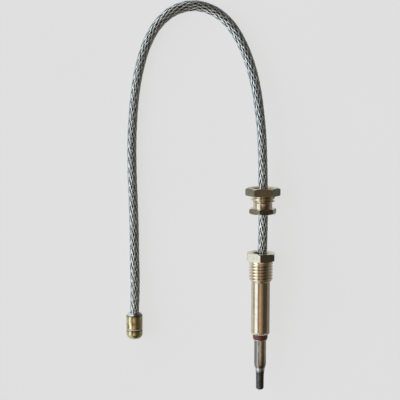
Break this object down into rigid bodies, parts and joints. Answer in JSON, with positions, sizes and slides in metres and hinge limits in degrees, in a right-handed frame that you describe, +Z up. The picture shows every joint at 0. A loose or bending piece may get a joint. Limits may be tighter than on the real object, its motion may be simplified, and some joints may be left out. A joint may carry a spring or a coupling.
{
  "type": "flame sensor probe",
  "caption": "Threaded brass flame sensor probe with a steel sheath and a dark hot tip, a braided metal lead with two nuts sliding on it, and a rounded brass bullet contact.",
  "frame": {"origin": "on the surface that the probe lies on, under the middle of the probe's length (the lead, its nuts and its contact are not counted)", "axes": "+Y along the probe from its hot tip to its lead, +Z up from the surface, +X to the right seen from above with +Y away"},
  "size_m": [0.0511, 0.1283, 0.0103],
  "materials": {
    "body_brass": "turned, bright",
    "nut_brass": "dull, lightly tarnished",
    "contact_brass": "turned, bright",
    "ring_copper": "oxidised dark red copper",
    "braze": "flowed braze",
    "sheath_steel": "drawn tube, heat tinted",
    "burnt_alloy": "dark, fired, glossy",
    "thermo_wire": "drawn wire",
    "copper_wire": "bare copper",
    "ceramic": "matt, fired",
    "insulation": "matt, cream",
    "braid": "woven tinned wire",
    "solder": "flowed solder, satin"
  },
  "bodies": {
    "probe_and_lead": {"probe_body": "body_brass", "copper_ring": "ring_copper", "braze_fillet": "braze", "sheath_tube": "sheath_steel", "junction_tip": "burnt_alloy", "inner_leg_wire": "thermo_wire", "ceramic_insulator": "ceramic", "cold_junction_ferrule": "copper_wire", "insulating_sleeve": "insulation", "braid_crimp_ferrule": "nut_brass", "core_wire_probe_end": "copper_wire", "lead_cable": "braid", "solder_cone": "solder", "contact_sleeve": "contact_brass", "insulating_bush": "insulation", "insulating_washer": "insulation", "contact_button": "contact_brass", "core_wire_contact_end": "copper_wire"},
    "union_nut": {"union_nut": "nut_brass"},
    "lock_nut": {"lock_nut": "nut_brass"}
  },
  "joints": [
    {"name": "union_nut_slide", "type": "slide", "parent": "probe_and_lead", "child": "union_nut", "axis": [0, 1, 0], "range_m": [-0.0127, 0.014]},
    {"name": "lock_nut_turn", "type": "hinge", "parent": "union_nut", "child": "lock_nut", "pos_m": [0.0005, 0.0436, 0.00517], "axis": [0, 1, 0], "range_deg": [-540, 450]}
  ]
}
